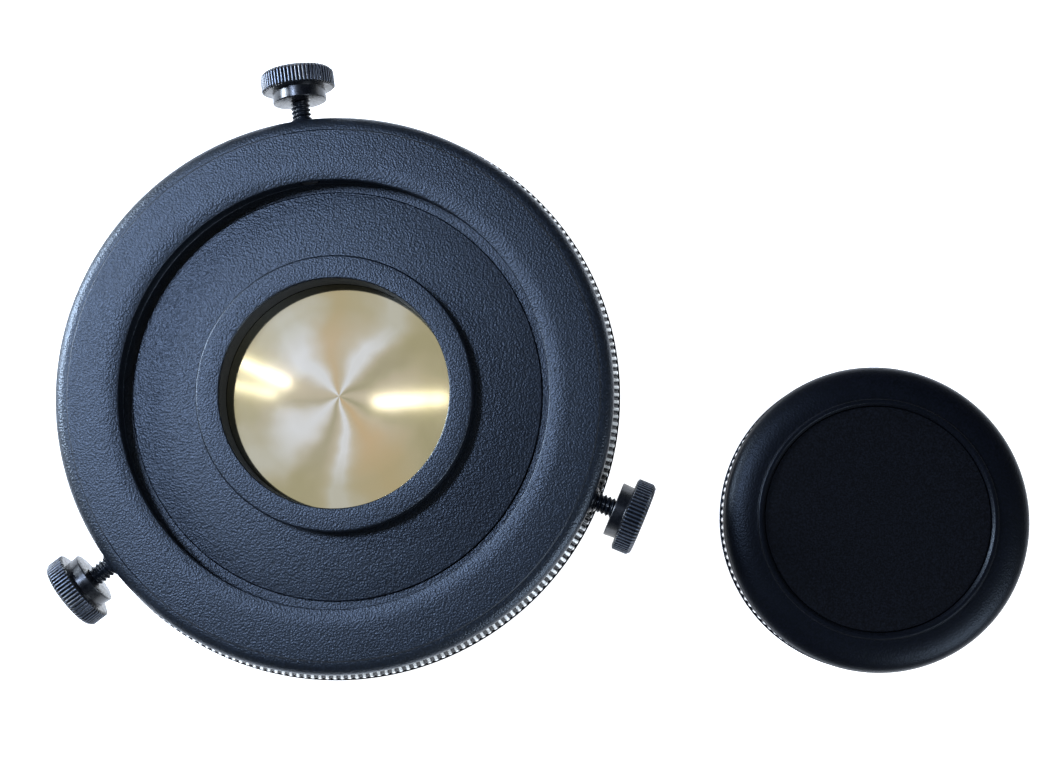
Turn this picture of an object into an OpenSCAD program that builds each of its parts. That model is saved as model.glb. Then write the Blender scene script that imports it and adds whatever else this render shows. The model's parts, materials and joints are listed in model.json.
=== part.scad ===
// Front filter cell for a refractor: a three-screw clamp ring, a recessed adapter plate,
// a coated window in its threaded cell, and the dust cap that fits over the cell's nose.
// The origin is on the optical axis at the nose's end face, and +Z points to the telescope.

/* [Clamp ring] */
// Outside diameter of the clamp ring
ring_d = 135.6; // [134:0.2:137]
// Outside diameter of the knurled ring behind it
knurl_d = 139; // [138:0.2:142]
// Thickness of the knurled ring's rim
knurl_t = 4; // [3:0.1:4.5]
// Diameter of the pocket's mouth, which takes the telescope tube
mouth_d = 104.2; // [103.6:0.2:104.6]
// Depth of the pocket from the face to the adapter plate
pocket_h = 7.7; // [7.7:0.1:9]
// Width of the rolled outer edge
roll_w = 3.4; // [2:0.2:5]
// Height of the rolled outer edge
roll_h = 2.4; // [1:0.2:2.6]

/* [Adapter plate] */
// Diameter of the adapter plate's face
plate_d = 100.6; // [99:0.2:100.8]
// Thickness of the adapter plate
plate_t = 2.5; // [2.5:0.1:3.5]

/* [Filter cell] */
// Outside diameter of the nose and of the collar
nose_d = 67.4; // [67:0.2:68]
// Length of the nose
nose_h = 17.5; // [16:0.5:22]
// Height of the collar above the plate
collar_h = 5.8; // [4:0.2:5.8]
// Clear aperture
aperture_d = 56; // [50:0.5:56]
// Depth of the window below the collar's top
glass_drop = 10.5; // [10.4:0.1:12]
// Diameter of the window
glass_d = 60; // [59:0.1:60.2]
// Thickness of the window
glass_t = 4; // [3:0.5:6]

/* [Thumbscrews] */
// Direction of the first screw from +X, in degrees
screw_angle = 97.5; // [0:0.5:119.5]
// Outside diameter of the thread
thread_d = 4.83; // [4:0.01:4.85]
// Pitch of the thread
pitch = 1.0583; // [0.8:0.0001:1.2]
// Diameter of the knurled head
head_d = 18.1; // [14:0.1:20]
// Length of the knurled head
head_t = 4.9; // [4:0.1:7]
// Diameter of the shoulder under the head
shoulder_d = 13.3; // [8:0.1:13.6]
// Length of the shoulder
shoulder_t = 2.9; // [1.5:0.1:4]
// Gap between the clamp ring and the shoulder
screw_gap = 5.3; // [5.3:0.1:8]

/* [Dust cap] */
// Outside diameter of the cap
cap_d = 75.8; // [74:0.2:78]
// Height of the cap
cap_h = 15; // [14.8:0.2:20]
// Outside diameter of the raised bead
bead_d = 59.4; // [56:0.2:62]
// Where the cap lies, along X
cap_x = 132.9; // [125:0.1:160]
// Where the cap lies, along Y
cap_y = -30.2; // [-60:0.1:60]

/* [Hidden] */
$fn = 96;

// Radii
ring_r = ring_d / 2;
knurl_r = knurl_d / 2;
mouth_r = mouth_d / 2;
pocket_r = mouth_r + 0.8;
plate_r = plate_d / 2;
plate_rim_r = mouth_r - 0.1;
spigot_ring_r = 64;
knurl_bore_r = 46;
nose_r = nose_d / 2;
aperture_r = aperture_d / 2;
glass_r = glass_d / 2;
seat_r = glass_r + 0.2;
spigot_r = 30.85;
flange_r = 40;
thread_r = thread_d / 2;
head_r = head_d / 2;
shoulder_r = shoulder_d / 2;
cap_r = cap_d / 2;
cap_bore_r = nose_r + 0.25;
bead_r = bead_d / 2;

// Gaps between pieces
slip = 0.03;
thread_slip = 0.04;
pin_slip = 0.05;

// Heights above the nose's end face
flange_t = 2.5;
plate_z = nose_h + flange_t;
pocket_z = plate_z + plate_t;
groove_z = pocket_z - 0.8;
plate_rim_t = 1;
knurl_top = nose_h + knurl_t;
knurl_floor = nose_h + 1;
collar_z = pocket_z + collar_h;
face_top = pocket_z + pocket_h;
lip_z = face_top - 1.8;
screw_z = pocket_z + 2.45;

// Window stack, from the ledge down
ring_t = 2.5;
gasket_t = 0.5;
ledge_z = collar_z - glass_drop + gasket_t;
glass_z = ledge_z - gasket_t - glass_t;
ring_z = glass_z - gasket_t - ring_t;

// Screw stations, measured out from the optical axis
tip_in = mouth_r + 0.5;
tip_r = 2.1;
tip_t = 2.3;
tip_pin_r = 0.9;
tip_pin_t = 1.8;
stud_in = tip_in + tip_t + 0.1;
shoulder_in = ring_r + screw_gap;
head_in = shoulder_in + shoulder_t;
bush_in = pocket_r + 1.1;
bush_r = 2.85;
bush_boss = 0.6;

// Dust cap levels
cap_roof_z = cap_h - 2.6;
cap_disc_z = cap_roof_z + 0.8;
cap_disc_t = 0.8;
cap_liner_t = 0.8;
cap_liner_r = cap_bore_r - 0.9;
bead_w = 1.9;

black = [0.09, 0.10, 0.11];
dark_metal = [0.16, 0.17, 0.19];

// Points of an elliptical arc about [x, y], from angle a to angle b
function arc(x, y, rx, ry, a, b, n = 6) =
    [for (k = [0:n]) [x + rx * cos(a + (b - a) * k / n), y + ry * sin(a + (b - a) * k / n)]];

// A flat ring standing on z
module annulus(outer, inner, z, h) {
    translate([0, 0, z]) difference() {
        cylinder(r = outer, h = h);
        translate([0, 0, -1]) cylinder(r = inner, h = h + 2);
    }
}

// Children drawn along +Z from the optical axis, laid along screw number i
module at_screw(i) {
    rotate([0, 0, screw_angle + 120 * (i - 1)])
        translate([0, 0, screw_z])
            rotate([0, 90, 0]) children();
}

// A plain cylinder standing on z
module cylinder_at(r, z, h) {
    translate([0, 0, z]) cylinder(r = r, h = h);
}

// Face, lip, pocket wall and ledge in one turned ring, with three radial holes
module clamp_ring() {
    lip = 0.4;
    color(black) difference() {
        rotate_extrude() polygon(concat(
            [[ring_r - 0.3, knurl_top + slip], [ring_r, knurl_top + 0.3]],
            arc(ring_r - roll_w, face_top - roll_h, roll_w, roll_h, 0, 90, 8),
            arc(mouth_r + lip, face_top - lip, lip, lip, 90, 180),
            [[mouth_r, lip_z], [pocket_r, lip_z - 0.8], [pocket_r, groove_z],
             [plate_r + 0.1, groove_z], [plate_r + 0.1, plate_z + plate_rim_t + slip],
             [plate_rim_r + slip, plate_z + plate_rim_t + slip], [plate_rim_r + slip, knurl_floor + slip],
             [spigot_ring_r, knurl_floor + slip], [spigot_ring_r, knurl_top + slip]]
        ));
        for (i = [1:3]) at_screw(i) {
            translate([0, 0, bush_in - slip]) cylinder(r = bush_r + slip, h = 30);
            translate([0, 0, pocket_r - 3]) cylinder(r = tip_r + 0.5, h = 8);
        }
    }
}

// Threaded ring that draws the adapter plate up against the clamp ring's ledge
module knurled_ring() {
    edge = 0.5;
    color(dark_metal) rotate_extrude() polygon([
        [knurl_bore_r, nose_h], [knurl_r - edge, nose_h], [knurl_r, nose_h + edge],
        [knurl_r, knurl_top - edge], [knurl_r - edge, knurl_top], [spigot_ring_r + slip, knurl_top],
        [spigot_ring_r + slip, knurl_floor], [plate_rim_r - slip, knurl_floor],
        [plate_rim_r - slip, plate_z], [knurl_bore_r, plate_z]
    ]);
}

module adapter_plate() {
    color(black) rotate_extrude() polygon([
        [spigot_r + slip, plate_z], [plate_rim_r, plate_z], [plate_rim_r, plate_z + plate_rim_t],
        [plate_r, plate_z + plate_rim_t], [plate_r, pocket_z - 0.2], [plate_r - 0.2, pocket_z],
        [spigot_r + slip, pocket_z]
    ]);
}

module cell_body() {
    color(black) difference() {
        union() {
            cylinder_at(nose_r, 0, nose_h + 1);
            cylinder_at(flange_r, nose_h, flange_t);
            cylinder_at(spigot_r, plate_z - 0.5, collar_z - 1.25 - plate_z + 0.5);
        }
        cylinder_at(aperture_r, -1, collar_z + 2);
        cylinder_at(seat_r, -1, ledge_z + 1);
    }
}

module collar() {
    edge = 0.6;
    color(black) rotate_extrude() polygon(concat(
        [[spigot_r + slip, pocket_z], [nose_r, pocket_z]],
        arc(nose_r - edge, collar_z - edge, edge, edge, 0, 90),
        arc(aperture_r + 0.3, collar_z - 0.3, 0.3, 0.3, 90, 180),
        [[aperture_r, collar_z - 1.2], [spigot_r + slip, collar_z - 1.2]]
    ));
}

module filter_glass() {
    edge = 0.3;
    color([0.85, 0.78, 0.6]) rotate_extrude() polygon([
        [0, glass_z], [glass_r - edge, glass_z], [glass_r, glass_z + edge],
        [glass_r, glass_z + glass_t - edge], [glass_r - edge, glass_z + glass_t],
        [0, glass_z + glass_t]
    ]);
}

module gasket_upper() {
    color("black") annulus(glass_r, aperture_r + 0.2, ledge_z - gasket_t, gasket_t);
}

module gasket_lower() {
    color("black") annulus(glass_r, aperture_r + 0.2, glass_z - gasket_t, gasket_t);
}

module retaining_ring() {
    color(dark_metal) difference() {
        annulus(seat_r - slip, aperture_r - 0.1, ring_z, ring_t);
        for (a = [0, 180]) rotate([0, 0, a])
            translate([aperture_r - 1, -1, ring_z - 1]) cube([4, 2, 2]);
    }
}

module screw_bush(i) {
    color(dark_metal) at_screw(i) difference() {
        union() {
            translate([0, 0, bush_in]) cylinder(r = bush_r, h = ring_r + 0.1 - bush_in);
            translate([0, 0, ring_r + slip])
                cylinder(r1 = bush_r + 0.5, r2 = thread_r + 0.3, h = bush_boss - slip);
        }
        translate([0, 0, bush_in - 1]) cylinder(r = thread_r + thread_slip, h = 30);
    }
}

// Threaded stud with its ridges as turned rings
module screw_stud(i) {
    turns = floor((shoulder_in - stud_in) / pitch);
    start = shoulder_in - turns * pitch;
    root_r = thread_r - 0.55;
    ridges = [for (k = [0:turns - 1]) each [
        [root_r, start + (k + 0.1) * pitch], [thread_r, start + (k + 0.44) * pitch],
        [thread_r, start + (k + 0.56) * pitch], [root_r, start + (k + 0.9) * pitch]
    ]];
    color(black) at_screw(i) difference() {
        rotate_extrude() polygon(concat(
            [[0, stud_in], [root_r, stud_in]], ridges, [[root_r, head_in], [0, head_in]]
        ));
        translate([0, 0, stud_in - 1]) cylinder(r = tip_pin_r + pin_slip, h = tip_pin_t + 1.2);
    }
}

module screw_head(i) {
    edge = 0.8;
    root_r = thread_r - 0.55;
    color(black) at_screw(i) difference() {
        rotate_extrude() polygon(concat(
            [[0, shoulder_in], [shoulder_r, shoulder_in], [shoulder_r - 0.2, head_in],
             [head_r - 0.3, head_in], [head_r, head_in + 0.3]],
            arc(head_r - edge, head_in + head_t - edge, edge, edge, 0, 90),
            [[0, head_in + head_t]]
        ));
        translate([0, 0, shoulder_in - 1]) cylinder(r = root_r + slip, h = shoulder_t + 1 + slip);
    }
}

module screw_tip(i) {
    color([0.9, 0.88, 0.8]) at_screw(i) rotate_extrude() polygon([
        [0, tip_in], [tip_r - 0.4, tip_in], [tip_r, tip_in + 0.4], [tip_r, tip_in + tip_t],
        [tip_pin_r, tip_in + tip_t], [tip_pin_r, tip_in + tip_t + tip_pin_t],
        [0, tip_in + tip_t + tip_pin_t]
    ]);
}

module at_cap() {
    translate([cap_x, cap_y, 0]) children();
}

module cap_shell() {
    rim_top = cap_h - 4.2;
    shoulder_w = cap_r - 0.4 - bead_r;
    color(black) at_cap() difference() {
        rotate_extrude() polygon(concat(
            [[0, 0], [cap_r - 0.4, 0], [cap_r, 0.4], [cap_r, rim_top], [cap_r - 0.4, rim_top + 0.4]],
            arc(bead_r, rim_top + 0.4, shoulder_w, cap_h - 0.9 - rim_top, 0, 90, 10),
            arc(bead_r - bead_w / 2, cap_h - 0.5, bead_w / 2, 0.5, 0, 180),
            [[bead_r - bead_w, cap_disc_z], [0, cap_disc_z]]
        ));
        cylinder_at(cap_bore_r, -1, cap_roof_z - cap_liner_t + 1);
        cylinder_at(cap_liner_r + slip, 0, cap_roof_z);
    }
}

module cap_disc() {
    color([0.05, 0.05, 0.06]) at_cap()
        cylinder_at(bead_r - bead_w - slip, cap_disc_z, cap_disc_t);
}

module cap_liner() {
    color([0.12, 0.12, 0.12]) at_cap()
        cylinder_at(cap_liner_r, cap_roof_z - cap_liner_t, cap_liner_t);
}

clamp_ring();
knurled_ring();
adapter_plate();
cell_body();
collar();
filter_glass();
gasket_upper();
gasket_lower();
retaining_ring();
screw_bush(1);  // screw_bush_1
screw_bush(2);  // screw_bush_2
screw_bush(3);  // screw_bush_3
screw_stud(1);  // screw_stud_1
screw_stud(2);  // screw_stud_2
screw_stud(3);  // screw_stud_3
screw_head(1);  // screw_head_1
screw_head(2);  // screw_head_2
screw_head(3);  // screw_head_3
screw_tip(1);  // screw_tip_1
screw_tip(2);  // screw_tip_2
screw_tip(3);  // screw_tip_3
cap_shell();
cap_disc();
cap_liner();
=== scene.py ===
"""Looks of a telescope filter cell and its dust cap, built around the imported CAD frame.

Turned pieces are lathed from outlines in millimetres, knurls and threads are real geometry,
and every finish is a node material in the piece's own object coordinates.
"""
import json
import math

import bpy
import bmesh
from mathutils import Matrix, Vector

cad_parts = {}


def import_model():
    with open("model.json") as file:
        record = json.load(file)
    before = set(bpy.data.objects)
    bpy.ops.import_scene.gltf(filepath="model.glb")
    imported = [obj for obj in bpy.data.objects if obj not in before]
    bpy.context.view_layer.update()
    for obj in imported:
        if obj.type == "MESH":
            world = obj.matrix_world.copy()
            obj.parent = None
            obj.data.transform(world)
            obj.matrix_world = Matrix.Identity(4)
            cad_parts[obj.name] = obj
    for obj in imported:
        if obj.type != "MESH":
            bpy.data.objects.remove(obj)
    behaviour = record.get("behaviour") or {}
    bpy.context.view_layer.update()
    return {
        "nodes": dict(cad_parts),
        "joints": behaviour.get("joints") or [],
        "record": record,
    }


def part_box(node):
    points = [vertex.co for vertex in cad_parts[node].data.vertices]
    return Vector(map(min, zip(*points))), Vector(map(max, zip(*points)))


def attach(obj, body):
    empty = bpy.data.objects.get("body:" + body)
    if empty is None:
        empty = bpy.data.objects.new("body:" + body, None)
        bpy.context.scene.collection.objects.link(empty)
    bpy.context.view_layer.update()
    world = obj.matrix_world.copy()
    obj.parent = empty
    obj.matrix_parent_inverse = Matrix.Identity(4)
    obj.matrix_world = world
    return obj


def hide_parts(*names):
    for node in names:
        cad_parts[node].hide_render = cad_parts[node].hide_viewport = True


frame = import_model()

MM = 0.001
TURN = 2 * math.pi

MOUNTS = {mount["name"]: mount for mount in frame["record"]["mounts"]}
JOINTS = {joint["name"]: joint for joint in frame["joints"]}
SCREWS = (1, 2, 3)


# ---------------------------------------------------------------- sizes, in mm
# They come from the frame where it holds them, and otherwise repeat the CAD source.

def lowest(node, axis="z"):
    """Lowest coordinate of a CAD node along one axis, in mm."""
    return getattr(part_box(node)[0], axis) / MM


def highest(node, axis="z"):
    """Highest coordinate of a CAD node along one axis, in mm."""
    return getattr(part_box(node)[1], axis) / MM


RING_R = highest("clamp_ring", "x")
FACE_Z = highest("clamp_ring")
MOUTH_R = MOUNTS["tube_mouth"]["dims"]["r_mm"]
UNDERCUT = 0.8
POCKET_R = MOUTH_R + UNDERCUT
PLATE_Z = highest("adapter_plate")
PLATE_BOTTOM = lowest("adapter_plate")
PLATE_R = 50.3
PLATE_RIM_R = highest("adapter_plate", "x")
GROOVE_DEPTH = 0.8
GROOVE_Z = PLATE_Z - GROOVE_DEPTH
KNURL_R = highest("knurled_ring", "x")
KNURL_BOTTOM = lowest("knurled_ring")
KNURL_TOP = highest("knurled_ring")
KNURL_BORE_R = 46
SPIGOT_RING_R = 64.0
COLLAR_R = highest("collar", "x")
COLLAR_Z = highest("collar")
NOSE_R = MOUNTS["nose"]["dims"]["r_mm"]
NOSE_TOP = MOUNTS["nose"]["dims"]["length_mm"]
FLANGE_R = highest("cell_body", "x")
SPIGOT_R = 30.85
SPIGOT_TOP = highest("cell_body")
APERTURE_R = 28.0
GLASS_R = highest("filter_glass", "x")
GLASS_BOTTOM = lowest("filter_glass")
GLASS_TOP = highest("filter_glass")
SEAT_R = GLASS_R + 0.2
LEDGE_Z = highest("gasket_upper")
CAP_CENTRE = tuple(metres / MM for metres in MOUNTS["cap_bore"]["pos_m"][:2])
CAP_R = highest("cap_shell", "x") - CAP_CENTRE[0]
CAP_BORE_R = MOUNTS["cap_bore"]["dims"]["r_mm"]
CAP_TOP = highest("cap_shell")
CAP_ROOF = highest("cap_liner")
CAP_LINER_R = highest("cap_liner", "x") - CAP_CENTRE[0]
CAP_LINER_Z = lowest("cap_liner")
CAP_DISC_BOTTOM = lowest("cap_disc")
CAP_DISC_TOP = highest("cap_disc")
CAP_DISC_R = highest("cap_disc", "x") - CAP_CENTRE[0]
BEAD_R = 29.7
BEAD_W = 1.9

RING_TEETH = 240
CAP_TEETH = 124
HEAD_TEETH = 60
THREAD_PITCH = 1.0583
THREAD_R = 2.415
THREAD_ROOT_R = 1.93

SLIDE = 0.03
SHARP_DEGREES = 32


# ---------------------------------------------------------------- mesh building

def mesh_piece(name, rows, place=Matrix.Identity(4), ring=False, crest=None, sharp=SHARP_DEGREES):
    """A closed skin over rows of points in mm.

    A row of one point is a pole, and ring joins the last row to the first.
    """
    mesh = bpy.data.meshes.new(name)
    verts = []
    starts = []
    for row in rows:
        starts.append(len(verts))
        verts += [place @ (Vector(p) * MM) for p in row]
    faces = []
    pairs = list(zip(range(len(rows) - 1), range(1, len(rows))))
    if ring:
        pairs.append((len(rows) - 1, 0))
    for a, b in pairs:
        na, nb = len(rows[a]), len(rows[b])
        count = max(na, nb)
        for j in range(count):
            k = (j + 1) % count
            corner = [starts[a] + j % na, starts[a] + k % na, starts[b] + k % nb, starts[b] + j % nb]
            faces.append(list(dict.fromkeys(corner)))
    mesh.from_pydata(verts, [], faces)
    if crest:
        layer = mesh.attributes.new("crest", "FLOAT", "POINT")
        layer.data.foreach_set("value", [value for row in crest for value in row])
    shell = bmesh.new()
    shell.from_mesh(mesh)
    bmesh.ops.recalc_face_normals(shell, faces=shell.faces)
    shell.to_mesh(mesh)
    shell.free()
    mesh.shade_smooth()
    mesh.set_sharp_from_angle(angle=math.radians(sharp))
    piece = bpy.data.objects.new(name, mesh)
    bpy.context.scene.collection.objects.link(piece)
    return piece


def rounded(corners, closed, steps=6):
    """Turns corners (radius, height, rounding, bite) into outline points (radius, height, bite)."""
    points = []
    count = len(corners)
    for i, (r, z, rounding, bite) in enumerate(corners):
        here = Vector((r, z))
        if rounding <= 0 or (not closed and i in (0, count - 1)):
            points.append((r, z, bite))
            continue
        before = Vector(corners[i - 1][:2]) - here
        after = Vector(corners[(i + 1) % count][:2]) - here
        half = before.angle(after) / 2
        reach = min(rounding / math.tan(half), 0.48 * before.length, 0.48 * after.length)
        radius = reach * math.tan(half)
        centre = here + (before.normalized() + after.normalized()).normalized() * radius / math.sin(half)
        start = here + before.normalized() * reach - centre
        finish = here + after.normalized() * reach - centre
        sweep = start.angle_signed(finish)
        for k in range(steps + 1):
            spoke = start.copy()
            spoke.rotate(Matrix.Rotation(-sweep * k / steps, 2))
            points.append((centre.x + spoke.x, centre.y + spoke.y, bite))
    return points


def coin_edge(count):
    """Height of a straight knurl's tooth from 0 in the groove to 1 on the crest, at any angle."""
    return lambda angle: abs(math.cos(count * angle / 2)) ** 0.7


def lathe(name, outline, around, closed=False, centre=(0, 0), tooth=None, place=Matrix.Identity(4)):
    """A turned piece. Where the outline's bite is above 0, the knurl's grooves cut that deep."""
    rows = []
    crest = []
    angles = [TURN * j / around for j in range(around)]
    for r, z, bite in outline:
        if r < 1e-6:
            rows.append([(centre[0], centre[1], z)])
            crest.append([0.0])
            continue
        heights = [tooth(a) if bite > 0 else 0.0 for a in angles]
        radii = [r - bite * (1 - h) for h in heights]
        rows.append([(centre[0] + reach * math.cos(a), centre[1] + reach * math.sin(a), z)
                     for a, reach in zip(angles, radii)])
        crest.append(heights)
    return mesh_piece(name, rows, place=place, ring=closed, crest=crest if tooth else None)


def ellipse_roll(r, z, width, height, steps=12):
    """Corners of a convex elliptical edge from the side (r + width, z) up to the face (r, z + height)."""
    angles = [math.pi / 2 * k / steps for k in range(steps + 1)]
    return [(r + width * math.cos(a), z + height * math.sin(a), 0, 0) for a in angles]


def circle(r, z, around):
    """Points of a level circle round the origin."""
    return [(r * math.cos(TURN * j / around), r * math.sin(TURN * j / around), z) for j in range(around)]


def drill(piece, cutters):
    """Cuts solid cutters out of a piece and throws the cutters away."""
    for cutter in cutters:
        hole = piece.modifiers.new("hole", "BOOLEAN")
        hole.object = cutter
        hole.operation = "DIFFERENCE"
        hole.solver = "EXACT"
    depsgraph = bpy.context.evaluated_depsgraph_get()
    mesh = bpy.data.meshes.new_from_object(piece.evaluated_get(depsgraph))
    piece.modifiers.clear()
    piece.data = mesh
    mesh.shade_smooth()
    mesh.set_sharp_from_angle(angle=math.radians(SHARP_DEGREES))
    for cutter in cutters:
        bpy.data.objects.remove(cutter)
    return piece


def fit(piece, body, slot, *nodes):
    """The piece rides on a body and stands for CAD nodes. Its slot is not used."""
    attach(piece, body)
    if nodes:
        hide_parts(*nodes)
    return piece


def screw_place(i):
    """Matrix that lays local +Z outward along thumbscrew i, measured from the optical axis."""
    joint = JOINTS[f"screw_turn_{i}"]
    outward = -Vector(joint["axis"]).normalized()
    up = Vector((0, 0, 1))
    side = up.cross(outward)
    turned = Matrix((side, up, outward)).transposed().to_4x4()
    return Matrix.Translation((0, 0, joint["pos_m"][2])) @ turned


def screw_span(node):
    """Nearest and farthest distance of a node from the optical axis, in mm, along its thumbscrew."""
    axis = -Vector(JOINTS["screw_turn_" + node[-1]]["axis"]).normalized()
    along = [axis.dot(v.co) / MM for v in frame["nodes"][node].data.vertices]
    return min(along), max(along)


# ---------------------------------------------------------------- finishes

class Finish:
    """A node material while it is built. add() makes a node; sockets passed as inputs are linked."""

    def __init__(self, name):
        self.material = bpy.data.materials.new(name)
        self.material.use_nodes = True
        self.tree = self.material.node_tree
        self.shader = self.tree.nodes["Principled BSDF"]
        self.place = self.add("ShaderNodeTexCoord").outputs["Object"]

    def add(self, kind, inputs=None, **settings):
        node = self.tree.nodes.new(kind)
        for key, value in settings.items():
            setattr(node, key, value)
        self.feed(node, inputs or {})
        return node

    def feed(self, node, inputs):
        for key, value in inputs.items():
            if isinstance(value, bpy.types.NodeSocket):
                self.tree.links.new(value, node.inputs[key])
            else:
                node.inputs[key].default_value = value

    def surface(self, **inputs):
        self.feed(self.shader, {key.replace("_", " "): value for key, value in inputs.items()})
        return self.material

    def noise(self, scale, detail=2.0, roughness=0.5, distortion=0.0):
        return self.add("ShaderNodeTexNoise", {
            "Vector": self.place, "Scale": scale, "Detail": detail,
            "Roughness": roughness, "Distortion": distortion}).outputs["Fac"]

    def pebbles(self, scale):
        """Rounded cells, 1 in their middles and 0 where they meet."""
        gap = self.add("ShaderNodeTexVoronoi", {"Vector": self.place, "Scale": scale}).outputs["Distance"]
        return self.sum(1.0, gap, "SUBTRACT")

    def spread(self, value, low, high, new_low=0.0, new_high=1.0):
        """Maps value from low..high to new_low..new_high, clamped."""
        return self.add("ShaderNodeMapRange", {
            "Value": value, "From Min": low, "From Max": high,
            "To Min": new_low, "To Max": new_high}).outputs["Result"]

    def sum(self, a, b, operation="ADD"):
        return self.add("ShaderNodeMath", {0: a, 1: b}, operation=operation).outputs[0]

    def blend(self, factor, a, b):
        mix = self.add("ShaderNodeMix", data_type="RGBA")
        self.feed(mix, {0: factor, 6: a, 7: b})
        return mix.outputs[2]

    def bump(self, height, strength, distance, normal=None):
        inputs = {"Height": height, "Strength": strength, "Distance": distance}
        if normal:
            inputs["Normal"] = normal
        return self.add("ShaderNodeBump", inputs).outputs["Normal"]

    def crest(self):
        return self.add("ShaderNodeAttribute", attribute_name="crest").outputs["Fac"]


def powder_coat(name, dark, light, grain=1.0, gloss=0.5):
    """Semi-matt black powder coat: a crisp pebbled grain over slow mottling."""
    f = Finish(name)
    pebbles = f.pebbles(2000)
    dust = f.noise(2600, detail=1, roughness=0.6)
    mottle = f.noise(140, detail=3, roughness=0.6)
    height = f.sum(pebbles, f.sum(dust, 0.8, "MULTIPLY"))
    tone = f.sum(f.spread(height, 0.6, 1.2), f.spread(mottle, 0.3, 0.7, 0.6, 1.0), "MULTIPLY")
    return f.surface(
        Base_Color=f.blend(tone, dark, light),
        Specular_IOR_Level=gloss,
        Specular_Tint=(0.75, 0.86, 1.0, 1),
        Roughness=f.spread(height, 0.5, 1.3, 0.42, 0.32),
        Normal=f.bump(height, 0.8 * grain, 0.00008))


def knurled_metal(name, groove, wear, bright_from):
    """Black coated knurl whose crests are worn through to bright metal."""
    f = Finish(name)
    scuff = f.noise(700, detail=4, roughness=0.7)
    worn = f.spread(f.sum(f.crest(), f.sum(scuff, 0.3, "MULTIPLY")), bright_from, bright_from + 0.2)
    return f.surface(
        Base_Color=f.blend(worn, groove, wear),
        Metallic=worn,
        Roughness=f.spread(scuff, 0.3, 0.7, 0.2, 0.38),
        Normal=f.bump(scuff, 0.15, 0.00004))


def turned_black(name, base, roughness=0.3):
    """Black oxide or anodised metal with faint turning marks and a little wear."""
    f = Finish(name)
    marks = f.noise(1500, detail=2, roughness=0.6, distortion=0.4)
    patch = f.noise(160, detail=3)
    return f.surface(
        Base_Color=f.blend(f.spread(patch, 0.3, 0.7), base, tuple(min(1, 1.7 * c) for c in base[:3]) + (1,)),
        Metallic=0.1,
        Specular_IOR_Level=0.3,
        Roughness=f.spread(marks, 0.3, 0.7, roughness - 0.06, roughness + 0.1),
        Normal=f.bump(marks, 0.12, 0.00003))


def soft_plain(name, base, scale, roughness, depth, strength=0.4):
    """Rubber, nylon or felt: one colour with its own fine surface."""
    f = Finish(name)
    grain = f.noise(scale, detail=4, roughness=0.65)
    darker = tuple(0.7 * c for c in base[:3]) + (1,)
    return f.surface(
        Base_Color=f.blend(f.spread(grain, 0.3, 0.7), darker, base),
        Roughness=f.spread(grain, 0.3, 0.7, roughness - 0.08, roughness + 0.08),
        Normal=f.bump(grain, strength, depth))


def window_coating_and_reflections():
    """Pale gold mirror coating with painted reflections: soft white, olive and amber wedges round its middle
    are painted into its colour.
    """
    f = Finish("window_coating_and_reflections")
    split = f.add("ShaderNodeSeparateXYZ", {"Vector": f.place})
    x, y = split.outputs["X"], split.outputs["Y"]
    bearing = f.sum(y, x, "ARCTAN2")
    wobble = f.sum(f.sum(f.noise(70, detail=2), 0.5, "SUBTRACT"), 0.9, "MULTIPLY")
    heading = f.sum(bearing, wobble)
    radius = f.add("ShaderNodeVectorMath", {0: f.place}, operation="LENGTH").outputs["Value"]

    def wedge(degrees, width, strength):
        """A soft lobe about one bearing, width in degrees."""
        turned = f.sum(heading, math.radians(degrees), "SUBTRACT")
        cosine = f.add("ShaderNodeMath", {0: turned}, operation="COSINE").outputs[0]
        fall = f.sum(f.sum(cosine, 1.0, "SUBTRACT"), 1 / (1 - math.cos(math.radians(width))), "MULTIPLY")
        lobe = f.add("ShaderNodeMath", {0: fall}, operation="EXPONENT").outputs[0]
        return f.sum(lobe, strength, "MULTIPLY")

    def several(*wedges):
        """The sum of some wedges, faded out towards the middle."""
        total = wedge(*wedges[0])
        for item in wedges[1:]:
            total = f.sum(total, wedge(*item))
        return f.sum(total, outward, "MULTIPLY")

    outward = f.spread(radius, 0.002, 0.016)
    # Painted reflections: these wedges stand in for what the mirror shows, and they are painted into its
    # colour.
    white = several((57, 13, 1.1), (128, 19, 1.1), (218, 20, 1.0), (273, 9, 1.2))
    olive = several((27, 14, 0.8), (247, 10, 0.7), (-24, 13, 0.8), (190, 12, 0.45))
    amber = several((303, 15, 1.0), (96, 13, 0.7))
    base = f.blend(f.spread(radius, 0.001, 0.009), (0.72, 0.71, 0.66, 1), (0.70, 0.62, 0.46, 1))
    tint_and_reflections = f.blend(f.spread(white, 0, 1), base, (0.92, 0.93, 0.93, 1))
    tint_and_reflections = f.blend(f.spread(olive, 0, 1), tint_and_reflections, (0.47, 0.43, 0.27, 1))
    tint_and_reflections = f.blend(f.spread(amber, 0, 1), tint_and_reflections, (0.72, 0.55, 0.33, 1))
    # Painted reflection of the dark bore wall: the colour darkens towards the window's edge.
    rim = f.spread(radius, 0.0225, 0.0285)
    tint_and_reflections = f.blend(f.sum(rim, 0.55, "MULTIPLY"), tint_and_reflections, (0.50, 0.45, 0.24, 1))
    return f.surface(Base_Color=tint_and_reflections, Metallic=1.0, Roughness=0.06)


def cap_inlay():
    """Very dark fine-grained inlay in the cap's middle."""
    f = Finish("cap_inlay")
    grain = f.noise(2600, detail=3, roughness=0.6)
    return f.surface(
        Base_Color=f.blend(f.spread(grain, 0.4, 0.75), (0.0004, 0.0005, 0.001, 1), (0.004, 0.005, 0.008, 1)),
        Specular_IOR_Level=0.06,
        Roughness=0.6,
        Normal=f.bump(grain, 0.5, 0.00006))


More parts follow.
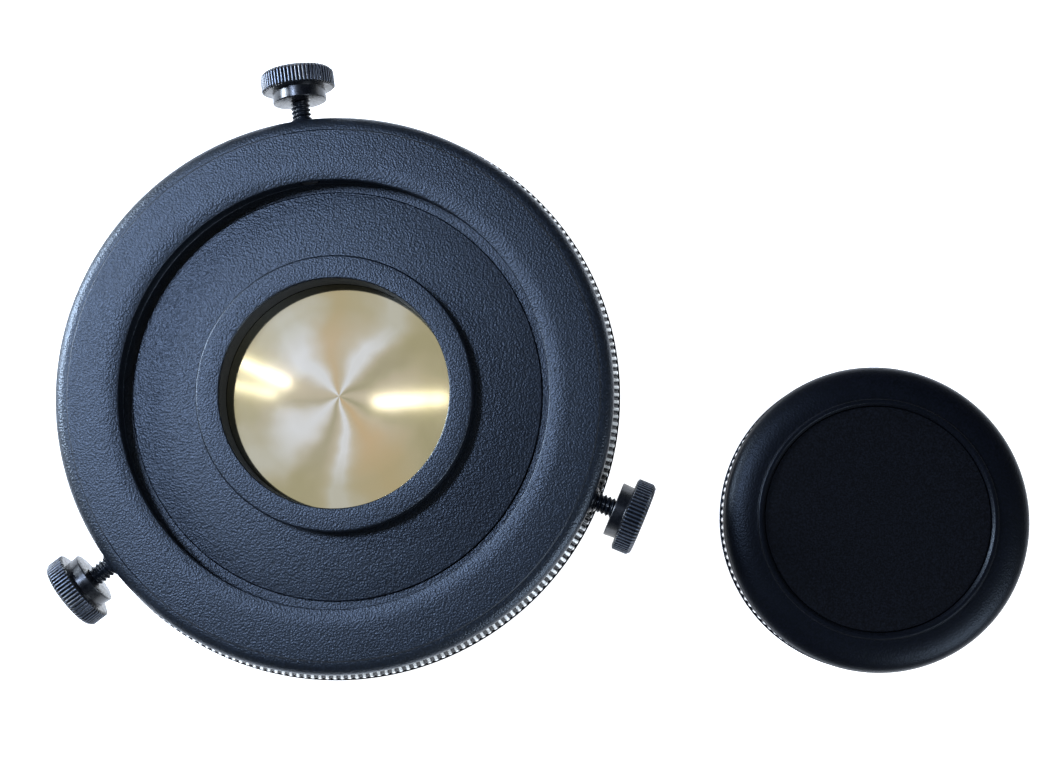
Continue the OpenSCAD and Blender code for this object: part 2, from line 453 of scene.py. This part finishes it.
POWDER = powder_coat("powder_coat", (0.0010, 0.0013, 0.0020, 1), (0.0075, 0.0105, 0.0165, 1))
CAP_POWDER = powder_coat("cap_powder_coat", (0.0006, 0.0008, 0.0014, 1), (0.003, 0.0035, 0.006, 1), 0.5, 0.14)
KNURL = knurled_metal("worn_knurl", (0.004, 0.0045, 0.006, 1), (0.90, 0.91, 0.90, 1), 0.90)
HEAD_KNURL = knurled_metal("head_knurl", (0.003, 0.0035, 0.005, 1), (0.08, 0.10, 0.14, 1), 1.0)
BLACK_SCREW = turned_black("black_screw", (0.004, 0.005, 0.007, 1), 0.2)
ANODISE = turned_black("black_anodise", (0.008, 0.0085, 0.010, 1), 0.36)
RUBBER = soft_plain("rubber", (0.012, 0.012, 0.012, 1), 900, 0.7, 0.00005)
# The nylon is coloured near black, as nothing bright shows where the screws go in.
NYLON = soft_plain("nylon", (0.020, 0.020, 0.021, 1), 500, 0.42, 0.00003, 0.2)
FELT = soft_plain("felt", (0.015, 0.015, 0.017, 1), 1400, 0.92, 0.0004, 0.8)
FLAT_BLACK = soft_plain("flat_black", (0.003, 0.003, 0.0035, 1), 2000, 0.75, 0.00003)
WINDOW = window_coating_and_reflections()
INLAY = cap_inlay()


def paint(piece, material):
    """Gives a piece one material and no other."""
    piece.data.materials.clear()
    piece.data.materials.append(material)
    return piece


# ---------------------------------------------------------------- the cell

def clamp_ring():
    """Face with its rolled edge and lip, smooth side, pocket and ledge, drilled for the three screws."""
    roll_w, roll_h, step = 3.2, 2.4, 0.3
    spigot_z = KNURL_TOP - 3
    hole_r, seat_r, seat_from = 2.6, 2.88, POCKET_R + 1.07
    dish_w, dish_h = 4.5, 0.5
    corners = ellipse_roll(RING_R - roll_w, FACE_Z - roll_h, roll_w, roll_h - step)
    corners.append((RING_R - roll_w - 0.3, FACE_Z, 0.15, 0))
    corners += [(MOUTH_R + dish_w * (1 - k / 8), FACE_Z - dish_h * (k / 8) ** 2, 0, 0) for k in range(8)]
    corners += [
        (MOUTH_R, FACE_Z - dish_h, 0.25, 0), (MOUTH_R, FACE_Z - 1.8, 0.05, 0),
        (POCKET_R, FACE_Z - 2.6, 0.1, 0),
        (POCKET_R, GROOVE_Z, 0.2, 0), (PLATE_R + 0.1, GROOVE_Z, 0.1, 0),
        (PLATE_R + 0.1, PLATE_BOTTOM + 1.03, 0, 0), (PLATE_RIM_R + SLIDE, PLATE_BOTTOM + 1.03, 0, 0),
        (PLATE_RIM_R + SLIDE, spigot_z, 0, 0), (SPIGOT_RING_R, spigot_z, 0.1, 0),
        (SPIGOT_RING_R, KNURL_TOP + SLIDE, 0, 0), (RING_R, KNURL_TOP + SLIDE, 0.3, 0)]
    piece = lathe("clamp_ring_shell", rounded(corners, True), 360, closed=True)
    cutters = []
    for i in SCREWS:
        steps = [(0, POCKET_R - 3, 0), (hole_r, POCKET_R - 3, 0), (hole_r, seat_from, 0),
                 (seat_r, seat_from, 0), (seat_r, RING_R + 6, 0), (0, RING_R + 6, 0)]
        cutters.append(lathe(f"cutter_{i}", steps, 48, place=screw_place(i)))
    return fit(paint(drill(piece, cutters), POWDER), "cell", "powder_coat", "clamp_ring")


def knurled_ring():
    """Coin-edged ring behind the clamp ring."""
    bite = 0.4
    corners = [
        (RING_R - 0.1, KNURL_TOP, 0, 0.02), (KNURL_R - 0.35, KNURL_TOP - 1.2, 0.5, bite),
        (KNURL_R - 0.35, KNURL_BOTTOM + 1.2, 0, bite), (KNURL_R, KNURL_BOTTOM + 1.1, 0, 0),
        (KNURL_R, KNURL_BOTTOM, 0.3, 0),
        (KNURL_BORE_R, KNURL_BOTTOM, 0.3, 0), (KNURL_BORE_R, PLATE_BOTTOM, 0.1, 0),
        (PLATE_RIM_R - SLIDE, PLATE_BOTTOM, 0, 0),
        (PLATE_RIM_R - SLIDE, KNURL_BOTTOM + 1, 0, 0), (SPIGOT_RING_R + SLIDE, KNURL_BOTTOM + 1, 0, 0),
        (SPIGOT_RING_R + SLIDE, KNURL_TOP, 0, 0)]
    piece = lathe("knurled_ring_rim", rounded(corners, True, 4), RING_TEETH * 6, closed=True,
                  tooth=coin_edge(RING_TEETH))
    return fit(paint(piece, KNURL), "cell", "knurled_metal", "knurled_ring")


def adapter_plate():
    """Recessed disc, rounded a little at its face's edge, on a thin rim."""
    corners = [
        (SPIGOT_R + SLIDE, PLATE_BOTTOM, 0, 0), (PLATE_RIM_R, PLATE_BOTTOM, 0, 0),
        (PLATE_RIM_R, PLATE_BOTTOM + 1, 0, 0), (PLATE_R, PLATE_BOTTOM + 1, 0, 0), (PLATE_R, PLATE_Z, 0.25, 0),
        (SPIGOT_R + SLIDE, PLATE_Z, 0, 0)]
    piece = lathe("adapter_plate_disc", rounded(corners, True), 288, closed=True)
    return fit(paint(piece, POWDER), "cell", "powder_coat", "adapter_plate")


def cell_body():
    """Nose with a groove and a relief, flange and spigot, with thread rings cut inside the nose."""
    corners = [
        (NOSE_R, 0, 0.5, 0), (NOSE_R, 3, 0, 0), (NOSE_R - 0.3, 3.2, 0, 0), (NOSE_R - 0.3, 3.6, 0, 0),
        (NOSE_R, 3.8, 0, 0), (NOSE_R, NOSE_TOP - 0.6, 0, 0), (NOSE_R - 0.3, NOSE_TOP - 0.3, 0, 0),
        (NOSE_R - 0.3, NOSE_TOP, 0.1, 0), (FLANGE_R, NOSE_TOP, 0.3, 0), (FLANGE_R, PLATE_BOTTOM, 0, 0),
        (SPIGOT_R, PLATE_BOTTOM, 0, 0), (SPIGOT_R, SPIGOT_TOP, 0.1, 0), (APERTURE_R, SPIGOT_TOP, 0, 0),
        (APERTURE_R, LEDGE_Z, 0.1, 0), (SEAT_R, LEDGE_Z, 0, 0)]
    pitch, depth = 0.75, 0.3
    threads = int((lowest("retaining_ring") - 2.5) / pitch)
    for k in range(threads):
        z = lowest("retaining_ring") - depth - pitch * k
        corners += [(SEAT_R, z, 0, 0), (SEAT_R + depth, z - depth, 0, 0), (SEAT_R + depth, z - 0.4, 0, 0)]
    corners += [(SEAT_R, 1.9, 0, 0), (SEAT_R, 0, 0.4, 0)]
    piece = lathe("cell_body_tube", rounded(corners, True), 240, closed=True)
    piece.data.materials.append(POWDER)
    piece.data.materials.append(FLAT_BLACK)
    for face in piece.data.polygons:
        face.material_index = int(math.hypot(face.center.x, face.center.y) / MM < SEAT_R + 0.35)
    return fit(piece, "cell", "powder_coat", "cell_body")


def collar():
    """Raised collar round the aperture."""
    corners = [
        (SPIGOT_R + SLIDE, PLATE_Z, 0, 0), (COLLAR_R, PLATE_Z, 0.12, 0), (COLLAR_R, COLLAR_Z, 0.55, 0),
        (APERTURE_R, COLLAR_Z, 0.35, 0), (APERTURE_R, COLLAR_Z - 1.2, 0, 0),
        (SPIGOT_R + SLIDE, COLLAR_Z - 1.2, 0, 0)]
    piece = lathe("collar_ring", rounded(corners, True, 8), 240, closed=True)
    return fit(paint(piece, POWDER), "cell", "powder_coat", "collar")


def window():
    """Coated disc with a ground bevel."""
    corners = [
        (0, GLASS_BOTTOM, 0, 0), (GLASS_R - 0.3, GLASS_BOTTOM, 0, 0), (GLASS_R, GLASS_BOTTOM + 0.3, 0, 0),
        (GLASS_R, GLASS_TOP - 0.3, 0, 0), (GLASS_R - 0.3, GLASS_TOP, 0, 0), (0, GLASS_TOP, 0, 0)]
    piece = lathe("window_disc", rounded(corners, False), 192)
    return fit(paint(piece, WINDOW), "cell", "mirror_glass", "filter_glass")


# ---------------------------------------------------------------- thumbscrews

def stud(i):
    """Helical thread on a blind-bored shank."""
    start, end = screw_span(f"screw_stud_{i}")
    bore_r, bore_t = 0.95, 2.0
    around, per_turn = 36, 10
    rows = [[(0, 0, start + bore_t)], circle(bore_r, start + bore_t, around), circle(bore_r, start, around)]
    steps = int((end - start) / THREAD_PITCH * per_turn)
    crest = [[0.0], [0.0] * around, [0.0] * around]
    for k in range(steps + 1):
        z = start + (end - start) * k / steps
        fade = min(1, (z - start) / THREAD_PITCH, (end - z) / THREAD_PITCH)
        row, high = [], []
        for j in range(around):
            angle = TURN * j / around
            phase = (z / THREAD_PITCH - angle / TURN) % 1
            rise = min(1, max(0, 1.35 * (1 - abs(2 * phase - 1)) - 0.17)) * fade
            r = THREAD_ROOT_R + (THREAD_R - THREAD_ROOT_R) * rise
            row.append((r * math.cos(angle), r * math.sin(angle), z))
            high.append(rise)
        rows.append(row)
        crest.append(high)
    rows.append([(0, 0, end)])
    crest.append([0.0])
    piece = mesh_piece(f"screw_thread_{i}", rows, place=screw_place(i), crest=crest, sharp=50)
    return fit(paint(piece, BLACK_SCREW), f"screw_{i}", "black_screw", f"screw_stud_{i}")


def head(i):
    """Knurled head with a domed edge, a dished end and a plain shoulder."""
    start, end = screw_span(f"screw_head_{i}")
    head_t, head_r, shoulder_r, hub_r, bite = 4.9, 9.05, 6.65, 1.9, 0.42
    shoulder_end = end - head_t
    corners = [
        (0, shoulder_end, 0, 0), (hub_r, shoulder_end, 0, 0), (hub_r, start, 0, 0),
        (shoulder_r, start, 0.25, 0), (shoulder_r - 0.15, shoulder_end - 0.05, 0.12, 0),
        (head_r - 0.8, shoulder_end, 0.1, 0), (head_r, shoulder_end + 0.35, 0.12, bite),
        (head_r, end - 0.9, 0.5, bite), (head_r - 0.75, end - 0.12, 0.35, 0.12), (head_r - 1.5, end, 0.2, 0),
        (head_r - 2.3, end - 0.05, 0.2, 0), (head_r - 2.7, end - 0.35, 0.2, 0), (0, end - 0.45, 0, 0)]
    piece = lathe(f"screw_knob_{i}", rounded(corners, False, 4), HEAD_TEETH * 8,
                  tooth=coin_edge(HEAD_TEETH), place=screw_place(i))
    return fit(paint(piece, HEAD_KNURL), f"screw_{i}", "black_screw", f"screw_head_{i}")


def bush(i):
    """Threaded bush with a small flared boss."""
    start, end = screw_span(f"screw_bush_{i}")
    hole, sleeve_r, boss_r = THREAD_R + 0.04, 2.85, 3.35
    corners = [
        (hole, start, 0.1, 0), (sleeve_r, start, 0.1, 0),
        (sleeve_r, RING_R - 0.05, 0, 0), (boss_r, RING_R, 0.1, 0),
        (2.75, end, 0.1, 0), (hole, end, 0.05, 0)]
    piece = lathe(f"screw_bush_sleeve_{i}", rounded(corners, True, 3), 72, closed=True, place=screw_place(i))
    return fit(paint(piece, BLACK_SCREW), "cell", "black_screw", f"screw_bush_{i}")


def tip(i):
    """Nylon pad with a rounded nose and its pin."""
    start, end = screw_span(f"screw_tip_{i}")
    pad_r, pad_t, pin_r = 2.1, 2.3, 0.9
    corners = [
        (0, start, 0, 0), (pad_r, start, 0.45, 0), (pad_r, start + pad_t, 0.15, 0),
        (pin_r, start + pad_t, 0, 0), (pin_r, end, 0.15, 0), (0, end, 0, 0)]
    piece = lathe(f"screw_pad_{i}", rounded(corners, False), 48, place=screw_place(i))
    return fit(paint(piece, NYLON), f"tip_{i}", "nylon", f"screw_tip_{i}")


# ---------------------------------------------------------------- dust cap

def cap_shell():
    """Knurled rim, crowned shoulder and a thin bead round a sunken middle."""
    bite = 0.4
    rim_top = CAP_TOP - 4.2
    crown = ellipse_roll(BEAD_R, rim_top + 0.5, CAP_R - 0.3 - BEAD_R, CAP_TOP - 1.0 - rim_top)[:-1]
    corners = [
        (0, CAP_ROOF, 0, 0), (CAP_LINER_R + SLIDE, CAP_ROOF, 0, 0), (CAP_LINER_R + SLIDE, CAP_LINER_Z, 0, 0),
        (CAP_BORE_R, CAP_LINER_Z, 0.1, 0), (CAP_BORE_R, 0, 0.4, 0),
        (CAP_R, 0, 0.4, 0), (CAP_R, 0.9, 0, 0), (CAP_R - 0.3, 1, 0, bite),
        (CAP_R - 0.3, rim_top - 0.9, 0, bite), (CAP_R - 0.1, rim_top - 0.8, 0, 0),
        (CAP_R - 0.1, rim_top + 0.2, 0.2, 0)]
    corners += crown
    corners += [
        (BEAD_R, CAP_TOP - 0.5, 0.1, 0), (BEAD_R - 0.35, CAP_TOP, 0.35, 0), (BEAD_R - 1.2, CAP_TOP, 0.35, 0),
        (BEAD_R - BEAD_W + 0.1, CAP_TOP - 0.6, 0.1, 0), (BEAD_R - BEAD_W, CAP_DISC_BOTTOM, 0, 0),
        (0, CAP_DISC_BOTTOM, 0, 0)]
    piece = lathe("cap_body", rounded(corners, False, 5), CAP_TEETH * 8, centre=CAP_CENTRE,
                  tooth=coin_edge(CAP_TEETH))
    piece.data.materials.append(CAP_POWDER)
    piece.data.materials.append(KNURL)
    for face in piece.data.polygons:
        middle = face.center / MM
        reach = math.hypot(middle.x - CAP_CENTRE[0], middle.y - CAP_CENTRE[1])
        face.material_index = int(reach > CAP_R - 0.95 and 0.95 < middle.z < rim_top - 0.85)
    return fit(piece, "cap", "powder_coat", "cap_shell")


def cap_disc():
    """Inlay with a soft edge, dished a little to its middle."""
    corners = [
        (0, CAP_DISC_BOTTOM, 0, 0), (CAP_DISC_R, CAP_DISC_BOTTOM, 0, 0), (CAP_DISC_R, CAP_DISC_TOP, 0.3, 0),
        (CAP_DISC_R * 0.8, CAP_DISC_TOP - 0.02, 1, 0), (0, CAP_DISC_TOP - 0.1, 0, 0)]
    piece = lathe("cap_inlay_disc", rounded(corners, False), 192, centre=CAP_CENTRE)
    return fit(paint(piece, INLAY), "cap", "cap_inlay", "cap_disc")


def cap_liner():
    """Felt pad with one rounded edge."""
    corners = [
        (0, CAP_ROOF, 0, 0), (CAP_LINER_R, CAP_ROOF, 0, 0), (CAP_LINER_R, CAP_LINER_Z, 0.35, 0),
        (0, CAP_LINER_Z, 0, 0)]
    piece = lathe("cap_felt", rounded(corners, False), 144, centre=CAP_CENTRE)
    return fit(paint(piece, FELT), "cap", "felt", "cap_liner")


clamp_ring()
knurled_ring()
adapter_plate()
cell_body()
collar()
window()
for number in SCREWS:
    stud(number)
    head(number)
    bush(number)
    tip(number)
cap_shell()
cap_disc()
cap_liner()
for node in ("gasket_upper", "gasket_lower"):
    paint(frame["nodes"][node], RUBBER)
paint(frame["nodes"]["retaining_ring"], ANODISE)


# ---------------------------------------------------------------- floor, light and camera

def floor():
    """Plain table, lit from within so that it reads as a white studio sweep."""
    bpy.ops.mesh.primitive_plane_add(size=6)
    sheet = bpy.context.object
    sheet.name = "floor"
    pale = Finish("pale_floor").surface(
        Base_Color=(0.8, 0.8, 0.8, 1), Roughness=0.8,
        Emission_Color=(1, 1, 1, 1), Emission_Strength=1.0)
    paint(sheet, pale)


def soft_light(name, at, aim, size, radiance, colour=(1, 1, 1)):
    """A rectangular area light at a point, facing another, as bright as its radiance says."""
    data = bpy.data.lights.new(name, "AREA")
    data.shape = "RECTANGLE"
    data.size, data.size_y = size
    data.energy = radiance * math.pi * size[0] * size[1]
    data.color = colour
    lamp = bpy.data.objects.new(name, data)
    bpy.context.scene.collection.objects.link(lamp)
    lamp.location = at
    lamp.rotation_euler = (Vector(aim) - Vector(at)).to_track_quat("-Z", "Y").to_euler()
    return lamp


CAMERA_AT = Vector((0.0580, -0.0410, 0.4655))
CAMERA_LENS = 61.9
CAMERA_TILT = (math.radians(5.73), math.radians(1.39), 0)


def camera():
    """The view of the photo, fitted to its ring."""
    data = bpy.data.cameras.new("camera")
    data.lens = CAMERA_LENS
    data.sensor_width = 36
    shot = bpy.data.objects.new("camera", data)
    bpy.context.scene.collection.objects.link(shot)
    shot.location = CAMERA_AT
    shot.rotation_euler = CAMERA_TILT
    bpy.context.scene.camera = shot


def seen_in_window(x, y, height):
    """What the camera sees mirrored in one point of the window, given in mm.

    Gives the point that lies this height, in metres, above the window, and how far sizes stretch there.
    """
    level = GLASS_TOP * MM
    mirrored = Vector((CAMERA_AT.x, CAMERA_AT.y, 2 * level - CAMERA_AT.z))
    stretch = height / (CAMERA_AT.z - level)
    point = Vector((x * MM, y * MM, level))
    return point + (point - mirrored) * stretch, 1 + stretch


def strip_in_window(name, start, end, width, radiance, height=0.58):
    """A strip light that the window shows between two points on it, in mm."""
    first, scale = seen_in_window(*start, height)
    last, _ = seen_in_window(*end, height)
    middle = (first + last) / 2
    run = last - first
    size = (run.length, width * MM * scale)
    lamp = soft_light(name, middle, middle - Vector((0, 0, 1)), size, radiance, (1, 0.98, 0.93))
    lamp.rotation_euler = (0, 0, math.atan2(run.y, run.x))
    return lamp


def ceiling_in_window(radiance, height=0.6):
    """A plain panel that fills the window's reflection."""
    middle, scale = seen_in_window(0, 0, height)
    side = 2.3 * APERTURE_R * MM * scale
    soft_light("ceiling_panel", middle, middle - Vector((0, 0, 1)), (side, side), radiance)


def world():
    """Dim overhead and brighter towards the horizon."""
    sky = bpy.data.worlds.new("studio")
    sky.use_nodes = True
    tree = sky.node_tree
    split = tree.nodes.new("ShaderNodeSeparateXYZ")
    tree.links.new(tree.nodes.new("ShaderNodeTexCoord").outputs["Generated"], split.inputs[0])
    fall = tree.nodes.new("ShaderNodeMapRange")
    fall.inputs["From Min"].default_value = 0.05
    fall.inputs["From Max"].default_value = 0.5
    fall.inputs["To Min"].default_value = 0.35
    fall.inputs["To Max"].default_value = 0.02
    tree.links.new(split.outputs["Z"], fall.inputs["Value"])
    background = tree.nodes["Background"]
    background.inputs["Color"].default_value = (0.80, 0.91, 1.0, 1)
    tree.links.new(fall.outputs["Result"], background.inputs["Strength"])
    bpy.context.scene.world = sky
    bpy.context.scene.view_settings.view_transform = "Standard"


floor()
world()
LEFT_HALF, RIGHT_HALF = (-0.03, 0, 0.02), (0.03, 0, 0.02)
COOL, COLD = (0.74, 0.85, 1.0), (0.56, 0.70, 1.0)
soft_light("key_left", (-0.205, 0.115, 0.60), LEFT_HALF, (0.12, 0.09), 78, COLD)
soft_light("side_left", (-0.75, 0.25, 0.42), LEFT_HALF, (0.3, 0.3), 75, COOL)
soft_light("fill_right", (0.50, -0.40, 0.40), RIGHT_HALF, (0.3, 0.3), 12, COOL)
ceiling_in_window(0.66)
strip_in_window("strip_right", (8.5, -1.6), (27, -0.6), 2.8, 4)
strip_in_window("strip_left_a", (-26, 9.2), (-12.5, 3.0), 1.8, 6)
strip_in_window("strip_left_b", (-28, 3.4), (-15.5, 0.2), 1.5, 4)
camera()
